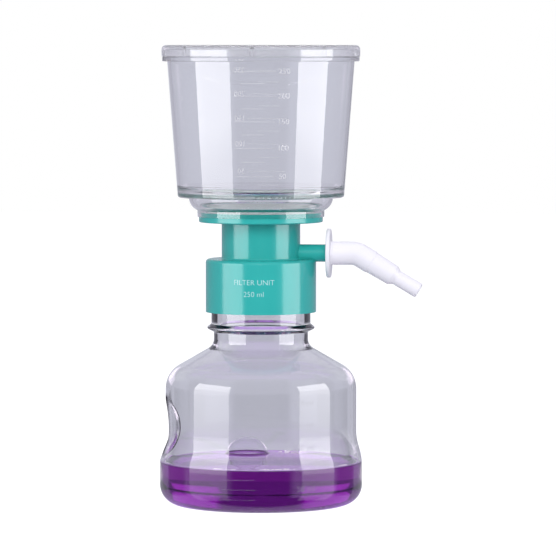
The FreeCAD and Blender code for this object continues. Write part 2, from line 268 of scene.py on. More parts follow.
painted_line_shade = (0.02, 0.015, 0.03)
grip_side = -30 * mm
side_soft = 4 * mm
grip_heights = (24 * mm, 47 * mm)
grip_soft = 3 * mm
grip_turn = (0.70, 0.86)
neck_bore = 19.2 * mm
bore_none = 0.6 * mm
bore_full = 0.3 * mm
neck_heights = (58 * mm, 75 * mm)
finish_heights = (81 * mm, 84 * mm)
neck_soft = 1.5 * mm
neck_turn = (0.215, 0.225)
# The masks below say where the painted shade goes: beside the grip recess, and in the neck's bore.
tree = Tree(bottle_wall_painted_shade.node_tree)
across, height, reach = distances(tree)
steep = tree.add("ShaderNodeLayerWeight", {}, {"Blend": 0.5})["Facing"]
beside = between(tree, across, grip_side, grip_side - side_soft)
grip_painted_shade = between(tree, steep, *grip_turn) * beside * window(tree, height, grip_heights, grip_soft)
inner = between(tree, reach, neck_bore + bore_none, neck_bore + bore_full)
from_inside = tree.add("ShaderNodeNewGeometry")["Backfacing"]
bore_painted_shade = between(tree, steep, *neck_turn) * from_inside * inner
free_of_bead = window(tree, height, neck_heights, neck_soft) + window(tree, height, finish_heights, neck_soft)
lay_over(bottle_wall_painted_shade, steep.maths("MAXIMUM", grip_painted_shade, bore_painted_shade * free_of_bead), painted_line_shade)
print("bottle's finish:", len(bottle_wall_painted_shade.node_tree.nodes), "nodes")

# %% [markdown]
# ## Coloured mouldings
#
# The filter base is one teal polypropylene moulding with a soft gloss. The barb is white, and its
# gloss is blunter and weaker. The seal is milky silicone, the plug in the port is sintered and
# coarse, and the membrane is a matt white sheet. Light that enters such plastic comes back from
# just under its skin, and a plain colour with the shared recipe's cloud in it is enough for that.

# %% Opaque finishes
finishes = {
    "filter_base": moulded(
        "teal_polypropylene",
        light=(0.038, 0.47, 0.43),
        dark=(0.030, 0.43, 0.39),
        rough=(0.13, 0.2),
    ),
    "hose_barb": moulded(
        "white_polypropylene",
        light=(0.90, 0.885, 0.92),
        dark=(0.85, 0.835, 0.88),
        rough=(0.28, 0.38),
        grain_depth=0.02,
        Specular_IOR_Level=0.2,
    ),
    "neck_seal": moulded(
        "milky_silicone",
        light=(0.72, 0.72, 0.73),
        dark=(0.64, 0.64, 0.66),
        rough=(0.5, 0.62),
        grain_depth=0.02,
    ),
    "port_plug": moulded(
        "sintered_plug",
        light=(0.85, 0.85, 0.83),
        dark=(0.6, 0.6, 0.58),
        rough=(0.8, 0.95),
        cloud_mm=0.3,
        grain_mm=0.25,
        grain_depth=0.12,
    ),
    "membrane": moulded(
        "filter_membrane",
        light=(0.80, 0.86, 0.85),
        dark=(0.74, 0.80, 0.79),
        rough=(0.75, 0.88),
        grain_mm=0.2,
        grain_depth=0.03,
        Transmission_Weight=0.4,
    ),
}
for name, finish in finishes.items():
    nodes[name].data.materials[0] = finish
print("opaque finishes:", len(finishes))

# %% [markdown]
# ## Filtrate that wets its bottle
#
# The solid liquid stops a hair short of the wall, and its top is flat. A real one touches the wall
# and creeps up it. Where liquid and plastic merely meet, a renderer can't tell which is inside
# which, so the usual cure is to let the liquid reach a tenth of a millimetre into the wall: light
# then goes straight from plastic to liquid. The body is a copy of the solid, merged because its
# triangles are loose, and pushed out along its normals. Its flat top is replaced by rings that
# follow the meniscus, the curve exp(-distance / reach).

# %% Push the body out to the wall
wet_overlap = 0.15 * mm
meniscus_rise = 0.35 * mm
meniscus_reach = 1.3 * mm
ring_steps_mm = [0.2, 0.45, 0.8, 1.3, 2.0, 3.0, 4.5, 7.0, 12.0, 20.0, 30.0]
weld_distance = 2e-6
level_slack = 1e-5
upward = 0.9
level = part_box("liquid")[1].z
liquid_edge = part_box("liquid")[1].x


def smooth_mesh(name, work):
    """A mesh from finished faces, which are turned outwards and shaded smooth."""
    bmesh.ops.recalc_face_normals(work, faces=work.faces)
    mesh = bpy.data.meshes.new(name)
    work.to_mesh(mesh)
    work.free()
    for polygon in mesh.polygons:
        polygon.use_smooth = True
    return mesh


def add_piece(name, mesh, body, material):
    """A new object for a finished mesh, riding on a body, with its material."""
    piece = bpy.data.objects.new(name, mesh)
    scene.collection.objects.link(piece)
    mesh.materials.clear()
    mesh.materials.append(material)
    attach(piece, body)
    print(name, "triangles:", sum(len(face.vertices) - 2 for face in mesh.polygons))
    return piece


def read_solid(node):
    """A solid's faces, ready to edit or measure."""
    work = bmesh.new()
    work.from_mesh(nodes[node].data)
    return work


def outward(place):
    """The level direction from the axis to a place."""
    return Vector((place.x, place.y, 0)).normalized()


def add_meniscus(work, rim):
    """Rings of faces from the rim inwards, along the meniscus, and closed at the axis."""
    rim.sort(key=lambda vert: math.atan2(vert.co.y, vert.co.x))
    outer = rim
    for step in ring_steps_mm:
        rise = meniscus_rise * math.exp(-step * mm / meniscus_reach)
        inner = []
        for vert in rim:
            place = vert.co - outward(vert.co) * step * mm
            inner.append(work.verts.new((place.x, place.y, level + rise)))
        for i in range(len(rim)):
            j = (i + 1) % len(rim)
            work.faces.new((outer[i], outer[j], inner[j], inner[i]))
        outer = inner
    centre = work.verts.new((0, 0, level))
    for i in range(len(rim)):
        work.faces.new((outer[i], outer[(i + 1) % len(rim)], centre))


def liquid_mesh():
    """The liquid's body touching the wall, under a top that climbs at its edge."""
    work = read_solid("liquid")
    bmesh.ops.remove_doubles(work, verts=work.verts, dist=weld_distance)
    lowest = level - level_slack
    top = [face for face in work.faces if face.normal.z > upward and face.calc_center_median().z > lowest]
    bmesh.ops.delete(work, geom=top, context="FACES")
    rim = [vert for vert in work.verts if vert.is_boundary]
    work.normal_update()
    for vert in work.verts:
        if not vert.is_boundary:
            vert.co += vert.normal * wet_overlap
    for vert in rim:
        vert.co += outward(vert.co) * wet_overlap
        vert.co.z = level + meniscus_rise
    add_meniscus(work, rim)
    return smooth_mesh("filtrate", work)


print("filtrate's level in mm:", round(level / mm, 2))

# %% [markdown]
# ## The colour of a dyed liquid
#
# A dye colours the light that travels through it, so a deep view is darker than a thin one, which a
# tinted surface can't do. The surface is therefore nearly clear, and the inside absorbs. It takes
# green most, red less and blue least.

# %% Purple filtrate
filtrate_index = 1.34
filtrate = moulded(
    "purple_filtrate",
    light=(0.93, 0.72, 0.97),
    dark=(0.90, 0.66, 0.96),
    rough=(0.0, 0.01),
    grain_mm=12,
    grain_depth=0.01,
    IOR=filtrate_index,
    Transmission_Weight=1.0,
)
dye = Tree(filtrate.node_tree).add(
    "ShaderNodeVolumeAbsorption", {}, {"Color": (0.60, 0.02, 0.68, 1), "Density": 52.0}
)
output = filtrate.node_tree.nodes["Material Output"]
filtrate.node_tree.links.new(dye[0].socket, output.inputs["Volume"])
print("dye:", [round(value, 2) for value in dye.node.inputs["Color"].default_value[:3]])

# %% [markdown]
# ## A pale line at the wall
#
# Where the filtrate climbs the wall it froths, and a thin pale line runs round it. As bubbles, that
# would be thousands of tiny balls. The helper that paints the bottle's dark lines of shade does it
# with one colour: a matt lavender is laid over the top of the liquid, close to its edge.

# %% Draw the pale line and add the filtrate
froth_shade = (0.62, 0.42, 0.80)
froth_share = 0.8
froth_none = 1.2 * mm
froth_full = 0.3 * mm
froth_below = 0.25 * mm
froth_above = 0.05 * mm
tree = Tree(filtrate.node_tree)
_, height, reach = distances(tree)
near_wall = between(tree, reach, liquid_edge - froth_none, liquid_edge - froth_full)
on_top = between(tree, height, level - froth_below, level + froth_above)
lay_over(filtrate, near_wall * on_top * froth_share, froth_shade)
liquid_piece = add_piece("filtrate", liquid_mesh(), "receiver", filtrate)
liquid_piece.visible_shadow = False
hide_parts("liquid")

# %% [markdown]
# ## Where the scale lines go
#
# The funnel and the bottle carry scales moulded into their walls, and a line belongs where the
# vessel holds that much. The heights are therefore worked out and not drawn: rays from the axis
# find the bore at each height, and adding up thin slices fills the vessel until it holds each
# volume. The bottle starts from its filtrate, whose volume is known. The funnel starts a little
# below nothing, because the drain under the membrane fills first.

# %% Fill a vessel slice by slice
slice_height = 0.2 * mm
ray_count = 24
millilitre = 1e-6


def wall_tree(node):
    """A search tree over one solid's surface."""
    work = read_solid(node)
    tree = BVHTree.FromBMesh(work)
    work.free()
    return tree


def bore_area(tree, z):
    """The open area round the axis at a height, from the wall that each ray meets first."""
    area = 0.0
    for i in range(ray_count):
        angle = 2 * math.pi * i / ray_count
        hit = tree.ray_cast(Vector((0, 0, z)), Vector((math.cos(angle), math.sin(angle), 0)))
        if hit[0] is not None:
            area += math.pi * hit[3] ** 2 / ray_count
    return area


def fill_heights(node, level, held, step_ml, full_ml):
    """The height of the surface at each step of volume, from a level at which the vessel holds a
    known volume: up and down from there, a slice at a time."""
    tree = wall_tree(node)
    heights = {}
    for way in (-1, 1):
        volume = held
        z = level
        step = math.floor(held / step_ml) if way < 0 else max(1, math.floor(held / step_ml) + 1)
        while 0 < step * step_ml <= full_ml:
            volume += way * bore_area(tree, z + way * slice_height / 2) * slice_height / millilitre
            z += way * slice_height
            if (volume - step * step_ml) * way >= 0:
                heights[step * step_ml] = z
                step += way
    return dict(sorted(heights.items()))


def solid_volume(node):
    """A solid's volume in millilitres."""
    work = read_solid(node)
    volume = abs(work.calc_volume(signed=True)) / millilitre
    work.free()
    return volume


drain_volume = 3.0
line_step = 25
capacity = 250
funnel_heights = fill_heights("funnel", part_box("membrane")[1].z, -drain_volume, line_step, capacity)
bottle_heights = fill_heights("bottle", level, solid_volume("liquid"), line_step, capacity)
print("funnel lines, ml: mm", {ml: round(z / mm, 1) for ml, z in funnel_heights.items()})
print("bottle lines, ml: mm", {ml: round(z / mm, 1) for ml, z in bottle_heights.items()})

# %% [markdown]
# ## Marks that follow a wall
#
# Each scale is drawn flat first: X is the length along the wall, Y the height, and Z how far a mark
# stands out. Geometry Nodes then do the two jobs that follow a rule. A bar is put on each point, as
# long as the point's own attribute says, and every vertex of the drawing is thrown at the wall
# along a ray towards the axis and left where it lands. The same tree serves the tapered funnel, the
# waisted bottle and the collar.

# %% The tree that wraps a drawing round a wall
ray_start_radii = 3
bar_points = 20


def named_inputs(group, **inputs):
    """Adds a geometry group's own inputs, each with its socket type and first value."""
    group.interface.new_socket("Geometry", in_out="OUTPUT", socket_type="NodeSocketGeometry")
    for name, (kind, value) in inputs.items():
        socket = group.interface.new_socket(name, in_out="INPUT", socket_type="NodeSocket" + kind)
        if value is not None:
            socket.default_value = value


def wrapping_tree():
    """Bars on points, joined with lettering, laid round a wall at an azimuth."""
    group = bpy.data.node_groups.new("wrap_on_wall", "GeometryNodeTree")
    named_inputs(
        group,
        Points=("Geometry", None),
        Lettering=("Object", None),
        Wall=("Object", None),
        Azimuth=("Float", -math.pi / 2),
        Radius=("Float", 0.04),
        Line=("Float", 0.3 * mm),
        Stand=("Float", 0.15 * mm),
        Finish=("Material", None),
    )
    tree = Tree(group)
    given = tree.add("NodeGroupInput")
    bar = tree.add("GeometryNodeMeshCube", {}, {"Size": (1, 1, 1), "Vertices X": bar_points})
    length = tree.add("GeometryNodeInputNamedAttribute", {"data_type": "FLOAT"}, {"Name": "length"})
    sides = {"X": length["Attribute"], "Y": given["Line"], "Z": given["Stand"]}
    scale = tree.add("ShaderNodeCombineXYZ", {}, sides)
    bars = tree.add(
        "GeometryNodeInstanceOnPoints",
        {},
        {"Points": given["Points"], "Instance": bar["Mesh"], "Scale": scale[0]},
    )
    as_drawn = {"transform_space": "ORIGINAL"}
    lettering = tree.add("GeometryNodeObjectInfo", as_drawn, {"Object": given["Lettering"]})
    joined = tree.add("GeometryNodeJoinGeometry", {}, {"Geometry": bars[0]})
    group.links.new(lettering["Geometry"].socket, joined.node.inputs[0])
    flat = tree.add("GeometryNodeRealizeInstances", {}, {"Geometry": joined[0]})
    drawn = tree.add("ShaderNodeSeparateXYZ", {}, {0: tree.add("GeometryNodeInputPosition")[0]})
    angle = given["Azimuth"] + drawn["X"] / given["Radius"]
    cosine = angle.maths("COSINE", angle)
    sine = angle.maths("SINE", angle)
    reach = ray_start_radii * given["Radius"]
    start = tree.add("ShaderNodeCombineXYZ", {}, {"X": cosine * reach, "Y": sine * reach, "Z": drawn["Y"]})
    inward = tree.add("ShaderNodeCombineXYZ", {}, {"X": cosine * -1, "Y": sine * -1, "Z": 0.0})
    wall = tree.add("GeometryNodeObjectInfo", as_drawn, {"Object": given["Wall"]})
    landed = tree.add(
        "GeometryNodeRaycast",
        {},
        {
            "Target Geometry": wall["Geometry"],
            "Source Position": start[0],
            "Ray Direction": inward[0],
            "Ray Length": reach,
        },
    )
    lift = drawn["Z"] * -1
    raised = tree.add("ShaderNodeVectorMath", {"operation": "SCALE"}, {0: inward[0], "Scale": lift})
    place = tree.add("ShaderNodeVectorMath", {"operation": "ADD"}, {0: landed["Hit Position"], 1: raised[0]})
    wrapped = tree.add("GeometryNodeSetPosition", {}, {"Geometry": flat[0], "Position": place[0]})
    plain = tree.add("GeometryNodeRealizeInstances", {}, {"Geometry": wrapped[0]})
    finished = tree.add("GeometryNodeSetMaterial", {}, {"Geometry": plain[0], "Material": given["Finish"]})
    tree.add("NodeGroupOutput", {}, {"Geometry": finished[0]})
    return group


def evaluated_mesh(thing):
    """The plain mesh of an object, with its modifiers or its curve worked out."""
    bpy.context.view_layer.update()
    return bpy.data.meshes.new_from_object(thing.evaluated_get(bpy.context.evaluated_depsgraph_get()))


def grown_mesh(name, group, start_mesh, inputs):
    """The plain mesh that a geometry group makes from a start mesh and its named inputs."""
    carrier = bpy.data.objects.new(name, start_mesh)
    scene.collection.objects.link(carrier)
    modifier = carrier.modifiers.new(name, "NODES")
    modifier.node_group = group
    for socket in group.interface.items_tree:
        if socket.in_out == "INPUT" and socket.name in inputs:
            modifier[socket.identifier] = inputs[socket.name]
    mesh = evaluated_mesh(carrier)
    carrier.modifiers.remove(modifier)
    bpy.data.objects.remove(carrier)
    return mesh


wrap_on_wall = wrapping_tree()
print("wrapping tree:", len(wrap_on_wall.nodes), "nodes")

# %% [markdown]
# ## Lettering and lines of a scale
#
# Only plain figures and the unit are used. Text becomes a mesh while it still lies flat, because a
# font curve can't be bent, and the letters get their thickness from the curve's own extrusion.

# %% Draw a scale flat
letter_weld = 1e-6
curve_steps = 3


def lettering_object(name, lines, size, thickness, thinned=0.0):
    """One flat mesh object of centred words: (words, x, height) for each line, in metres."""
    work = bmesh.new()
    for words, x, height in lines:
        curve = bpy.data.curves.new(name, "FONT")
        curve.body = words
        curve.size = size
        curve.extrude = thickness
        curve.offset = -thinned * size
        curve.resolution_u = curve_steps
        curve.align_x = "CENTER"
        curve.align_y = "CENTER"
        holder = bpy.data.objects.new(name, curve)
        scene.collection.objects.link(holder)
        mesh = evaluated_mesh(holder)
        mesh.transform(Matrix.Translation((x, height, 0)))
        work.from_mesh(mesh)
        bpy.data.objects.remove(holder)
        bpy.data.meshes.remove(mesh)
    bmesh.ops.remove_doubles(work, verts=work.verts, dist=letter_weld)
    mesh = bpy.data.meshes.new(name)
    work.to_mesh(mesh)
    work.free()
    return bpy.data.objects.new(name, mesh)


def line_points(name, lines):
    """A mesh of points, one for each (x, height, length), that carry the length as an attribute."""
    mesh = bpy.data.meshes.new(name)
    mesh.from_pydata([(x, height, 0) for x, height, length in lines], [], [])
    attribute = mesh.attributes.new("length", "FLOAT", "POINT")
    for i, (x, height, length) in enumerate(lines):
        attribute.data[i].value = length
    return mesh


def add_marks(
    name, wall, body, lines, words, size, azimuth, radius, stand, finish, line=0.22 * mm, thinned=0.0
):
    """A drawing of lines and words, wrapped on a wall as one piece."""
    lettering = lettering_object(name + "_words", words, size, stand, thinned)
    scene.collection.objects.link(lettering)
    inputs = {
        "Lettering": lettering,
        "Wall": nodes[wall],
        "Azimuth": math.radians(azimuth),
        "Radius": radius,
        "Line": line,
        "Stand": stand * 2,
        "Finish": finish,
    }
    mesh = grown_mesh(name, wrap_on_wall, line_points(name, lines), inputs)
    bpy.data.objects.remove(lettering)
    return add_piece(name, mesh, body, finish)


# %% [markdown]
# ## Scales moulded in the walls
#
# The marks are the same plastic as the wall and stand out by less than a tenth of a millimetre. They
# show because their edges scatter a little light, so their finish is a frosted version of the clear
# one. The funnel has two scales, on opposite sides, which is why figures show through it in mirror
# writing. The bottle has one, fainter and in satin.

# %% Add the scales
frosted = moulded(
    "frosted_polystyrene",
    light=(1.0, 1.0, 1.0),
    dark=(0.97, 0.97, 0.99),
    rough=(0.3, 0.45),
    IOR=polystyrene_index,
    Transmission_Weight=0.82,
)
satin = moulded(
    "satin_polystyrene",
    light=(1.0, 1.0, 1.0),
    dark=(0.97, 0.97, 0.99),
    rough=(0.14, 0.24),
    IOR=polystyrene_index,
    Transmission_Weight=0.97,
)


figure_step = 50


def scale_lines(heights, long_line, short_line, long_x, short_x):
    """A line for each volume, long where there is a figure and short between."""
    lines = []
    for volume, height in heights.items():
        long = volume % figure_step == 0
        lines.append((long_x if long else short_x, height, long_line if long else short_line))
    return lines


def figures(heights, x, unit=""):
    """The figure for each step of volume that has one."""
    steps = [volume for volume in heights if volume % figure_step == 0]
    return [(f"{volume}{unit}", x, heights[volume]) for volume in steps]


for side, azimuth in (("front", -90), ("back", 90)):
    add_marks(
        f"funnel_scale_{side}",
        wall="funnel",
        body="filter_head",
        lines=scale_lines(
            funnel_heights, long_line=17.5 * mm, short_line=9.8 * mm, long_x=0.8 * mm, short_x=0
        ),
        words=figures(funnel_heights, 13.2 * mm),
        size=3.4 * mm,
        azimuth=azimuth,
        radius=38.5 * mm,
        stand=0.06 * mm,
        finish=frosted,
        line=0.14 * mm,
    ).visible_shadow = False
add_marks(
    "bottle_scale",
    wall="bottle",
    body="receiver",
    lines=scale_lines(
        bottle_heights, long_line=13.6 * mm, short_line=13.6 * mm, long_x=-5.4 * mm, short_x=-5.4 * mm
    ),
    words=figures(bottle_heights, 22.5 * mm, " ml"),
    size=3.6 * mm,
    azimuth=-90,
    radius=41.6 * mm,
    stand=0.04 * mm,
    finish=satin,
).visible_shadow = False

# %% [markdown]
# ## Pad print on the collar
#
# Such collars carry two short printed lines. These name only what the part is and how much it
# takes. Pad print is a thin skin of ink, so it stands out by a few hundredths of a millimetre.

# %% Add the print
ink = moulded("pale_ink", light=(0.62, 0.84, 0.83), dark=(0.50, 0.76, 0.75), rough=(0.4, 0.55))
seal_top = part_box("neck_seal")[1].z
first_line_drop = 7.5 * mm
second_line_drop = 12.6 * mm
add_marks(
    "collar_print",
    wall="filter_base",
    body="filter_head",
    lines=[],
    words=[
        ("FILTER UNIT", 0, seal_top - first_line_drop),
        (f"{capacity} ml", 0, seal_top - second_line_drop),
    ],
    size=3.3 * mm,
    azimuth=-92.3,
    radius=24.1 * mm,
    stand=0.03 * mm,
    finish=ink,
    thinned=0.018,
)

# %% [markdown]
# ## Bubbles
#
# Filtrate that has been pulled through a membrane froths a little. One big bubble floats by the
# far wall with some foam beside it, and rows of tiny ones cling to the meniscus. The small ones are
# more than a hundred copies that follow an arc with some scatter, which is work for Geometry Nodes.
# Each is a sphere of a few dozen faces. The seed is fixed, so that they never move.

# %% The tree that strews bubbles along an arc
draw_salts = (0, 17, 41)
ball_segments = 10
ball_rings = 6


def bubble_tree():
    """Spheres of random size strewn along an arc round the axis."""
    group = bpy.data.node_groups.new("strew_bubbles", "GeometryNodeTree")
    named_inputs(
        group,
        Points=("Geometry", None),
        Count=("Int", 20),
        Radius=("Float", 0.04),
        Depth=("Float", 1.0 * mm),
        Height=("Float", level),
        Start=("Float", 0.0),
        Sweep=("Float", 0.4),
        Smallest=("Float", 0.15 * mm),
        Largest=("Float", 0.4 * mm),
        Seed=("Int", 1),
        Finish=("Material", None),
    )
    tree = Tree(group)
    given = tree.add("NodeGroupInput")
    stacked = {"Count": given["Count"], "Offset": (0, 0, 0)}
    line = tree.add("GeometryNodeMeshLine", {"mode": "OFFSET"}, stacked)
    chance = []
    for salt in draw_salts:
        seed = given["Seed"] + salt
        chance.append(tree.add("FunctionNodeRandomValue", {"data_type": "FLOAT"}, {"Seed": seed})["Value"])
    angle = given["Start"] + given["Sweep"] * chance[0]
    radius = given["Radius"] - given["Depth"] * chance[1]
    x = radius * angle.maths("COSINE", angle)
    y = radius * angle.maths("SINE", angle)
    place = tree.add("ShaderNodeCombineXYZ", {}, {"X": x, "Y": y, "Z": given["Height"]})
    strewn = tree.add("GeometryNodeSetPosition", {}, {"Geometry": line[0], "Position": place[0]})
    size = given["Smallest"] + (given["Largest"] - given["Smallest"]) * chance[2] * chance[2]
    ball_values = {"Segments": ball_segments, "Rings": ball_rings, "Radius": 1.0}
    ball = tree.add("GeometryNodeMeshUVSphere", {}, ball_values)
    balls = tree.add(
        "GeometryNodeInstanceOnPoints", {}, {"Points": strewn[0], "Instance": ball["Mesh"], "Scale": size}
    )
    plain = tree.add("GeometryNodeRealizeInstances", {}, {"Geometry": balls[0]})
    smooth = tree.add("GeometryNodeSetShadeSmooth", {}, {"Geometry": plain[0]})
    finished = tree.add("GeometryNodeSetMaterial", {}, {"Geometry": smooth[0], "Material": given["Finish"]})
    tree.add("NodeGroupOutput", {}, {"Geometry": finished[0]})
    return group


strew_bubbles = bubble_tree()
print("strewing tree:", len(strew_bubbles.nodes), "nodes")

# %% [markdown]
# ## Rows of tiny bubbles
#
# Froth gathers in rows along the wall, with gaps between them, and a looser patch floats beside the
# big bubble. Each row is one use of the tree, with its own stretch of the rim, its own count and
# its own sizes. The bubbles are real, but their film is painted nearly white and hardly see-through,
# as a painted highlight, because balls this small show as bright specks of mirrored light.

# %% Strew the small bubbles
# Painted highlight: the film's near-white colour stands in for the glints that tiny bubbles catch.
bubble_film_painted_glint = moulded(
    "bubble_film_painted_glint",
    light=(0.97, 0.93, 1.0),
    dark=(0.90, 0.82, 0.96),
    rough=(0.0, 0.04),
    IOR=1.2,
    Transmission_Weight=0.15,
)
bubble_inset = 0.3 * mm
bubble_lift = 0.15 * mm
first_seed = 3
bubble_rows = [
    # (name, start degrees, sweep degrees, count, depth mm, smallest mm, largest mm)
    ("bubbles_front_left", -114, 14, 34, 1.6, 0.2, 0.6),
    ("bubbles_front", -86, 22, 60, 2.4, 0.2, 0.6),
    ("bubbles_right", -34, 10, 30, 1.6, 0.2, 0.5),
    ("bubbles_left", -158, 3, 5, 1.0, 0.2, 0.4),
    ("foam_patch", 66, 16, 40, 9.0, 0.2, 0.6),
]
for seed, (name, start, sweep, count, depth, smallest, largest) in enumerate(bubble_rows, first_seed):
    inputs = {
        "Count": count,
        "Radius": liquid_edge - bubble_inset,
        "Depth": depth * mm,
        "Height": level + bubble_lift,
        "Start": math.radians(start),
        "Sweep": math.radians(sweep),
        "Smallest": smallest * mm,
        "Largest": largest * mm,
        "Seed": seed,
        "Finish": bubble_film_painted_glint,
    }
    mesh = grown_mesh(name, strew_bubbles, bpy.data.meshes.new(name), inputs)
    add_piece(name, mesh, "receiver", bubble_film_painted_glint).visible_shadow = False

# %% [markdown]
# ## The one big bubble
#
# A floating bubble this large is a dome a little flatter than half a ball, with a film so thin that
# it shows only at its edge. It is made as a shell with two skins. A single see-through skin would
# have no edge to catch the light.

# %% Add the dome
dome_radius = 9.4 * mm
dome_height = 7.8 * mm
dome_film = 0.25 * mm
dome_place = Vector((-9.2 * mm, 31.5 * mm, level))
dome_rings = 20
dome_turns = 64


def dome_points():
    """An outer and an inner half ellipsoid: ring after ring from the waterline, then the crown."""
    points = []
    for skin in (0, dome_film):
        for i in range(dome_rings):
            rise = math.pi / 2 * i / dome_rings
            reach = (dome_radius - skin) * math.cos(rise)
            up = (dome_height - skin) * math.sin(rise)
            for j in range(dome_turns):
                turn = 2 * math.pi * j / dome_turns
                points.append(dome_place + Vector((reach * math.cos(turn), reach * math.sin(turn), up)))
        points.append(dome_place + Vector((0, 0, dome_height - skin)))
    return points


def dome_faces():
    """The faces of both skins, and the band at the waterline that joins them."""
    skin_size = dome_rings * dome_turns + 1
    following = [(j + 1) % dome_turns for j in range(dome_turns)]
    faces = []
    for base in (0, skin_size):
        for i in range(dome_rings - 1):
            low, high = base + i * dome_turns, base + (i + 1) * dome_turns
            faces += [(low + j, low + k, high + k, high + j) for j, k in enumerate(following)]
        low = base + (dome_rings - 1) * dome_turns
        faces += [(low + j, low + k, base + skin_size - 1) for j, k in enumerate(following)]
    faces += [(j, k, skin_size + k, skin_size + j) for j, k in enumerate(following)]
    return faces


def dome_mesh():
    """A closed shell with two skins."""
    work = bmesh.new()
    verts = [work.verts.new(point) for point in dome_points()]
    for face in dome_faces():
        work.faces.new([verts[i] for i in face])
    return smooth_mesh("big_bubble", work)


dome_finish = moulded(
    "dome_film",
    light=(0.99, 0.98, 1.0),
    dark=(0.96, 0.94, 0.99),
    rough=(0.0, 0.01),
    IOR=1.33,
    Transmission_Weight=1.0,
)
dome = add_piece("big_bubble", dome_mesh(), "receiver", dome_finish)
dome.visible_shadow = False

# %% [markdown]
# ## The ring at the bubble's foot
#
# Liquid climbs a bubble as it climbs a wall, and the ring it makes round the dome's foot looks dark
# against the pale surface. It could be modelled into the top of the filtrate, but a ring of its own
# is simpler: a small outline is swept round the dome. Its finish is painted darker than the
# filtrate: the dark is painted shade, because so little liquid would hardly show any dye.

# %% Add the ring
foot_outline_mm = [(-0.1, -0.2), (1.1, -0.2), (0.5, 0.1), (0.1, 0.7), (-0.15, 0.7)]


def foot_mesh():
    """The outline, as steps out from the dome and up from the liquid, swept round the dome."""
    work = bmesh.new()
    rings = []
    for i in range(dome_turns):
        turn = 2 * math.pi * i / dome_turns
        facing = Vector((math.cos(turn), math.sin(turn), 0))
        ring = []
        for out, up in foot_outline_mm:
            place = dome_place + facing * (dome_radius + out * mm) + Vector((0, 0, up * mm))
            ring.append(work.verts.new(place))
        rings.append(ring)
    for i, this in enumerate(rings):
        following = rings[(i + 1) % dome_turns]
        for j in range(len(foot_outline_mm)):
            k = (j + 1) % len(foot_outline_mm)
            work.faces.new((this[j], following[j], following[k], this[k]))
    return smooth_mesh("bubble_foot", work)


# Painted shade: the ring's dark purple stands in for the shade at the bubble's foot, not for dye.
foot_painted_shade = moulded(
    "purple_meniscus_painted_shade",
    light=(0.20, 0.03, 0.30),
    dark=(0.13, 0.02, 0.20),
    rough=(0.04, 0.1),
    IOR=filtrate_index,
    Transmission_Weight=0.4,
)
foot = add_piece("bubble_foot", foot_mesh(), "receiver", foot_painted_shade)
foot.visible_shadow = False

# %% [markdown]
# ## Camera
#
# A long lens from under two metres away flattens the ellipses of the rims as such a product shot
# does. It stands a little above the table and a few degrees towards the port, and looks level with
# the collar.

# %% Place the camera
view_azimuth = math.radians(5)
view_elevation = math.radians(3.4)
view_distance = 1.75
view_height = 98.8 * mm
view_aside = 7.5 * mm
view_span = 246.4 * mm
sensor = 36.0
right = Vector((math.cos(view_azimuth), math.sin(view_azimuth), 0))
away = Vector((-math.sin(view_azimuth), math.cos(view_azimuth), 0))
target = right * view_aside + Vector((0, 0, view_height))
back_off = away * -math.cos(view_elevation) + Vector((0, 0, math.sin(view_elevation)))
camera_data = bpy.data.cameras.new("camera")
camera_data.sensor_width = sensor
camera_data.lens = sensor * view_distance / view_span
camera = bpy.data.objects.new("camera", camera_data)
camera.location = target + back_off * view_distance
camera.rotation_euler = (-back_off).to_track_quat("-Z", "Y").to_euler()
scene.collection.objects.link(camera)
scene.camera = camera
print("lens in mm:", round(camera_data.lens, 1))

# %% [markdown]
# ## A pale studio
#
# Clear plastic shows what is round it, so the studio is half of its look. The camera sees white
# behind the object. Light that the object bends or mirrors meets a cool grey instead, which gives
# clear plastic its body, and matt surfaces get one even shade. Patches lie over the grey: a darker
# grey away from straight behind, a bright one on both sides for bent light only, because the lid's
# top would mirror it and vanish, and black low behind the camera and steeply below, so that nothing
# pale is mirrored in the middle.

# %% World
card_high = (0.59, 0.60, 0.685)
card_low = (0.54, 0.545, 0.63)
card_matt = (0.60, 0.60, 0.68)
horizon_blend = (-5, -1)
world_patches = [
    # (shade, azimuths to both sides of straight behind and elevations in degrees, softness, mirrored too)
    ((0.45, 0.45, 0.525), (16, 190), (-95, 95), 3, True),
    ((1.60, 1.45, 1.70), (14, 38), (4, 12), 3, False),
    ((0.03, 0.03, 0.04), (150, 190), (-95, -2), 12, True),
    ((0.03, 0.03, 0.04), (105, 190), (-95, -30), 8, True),
]


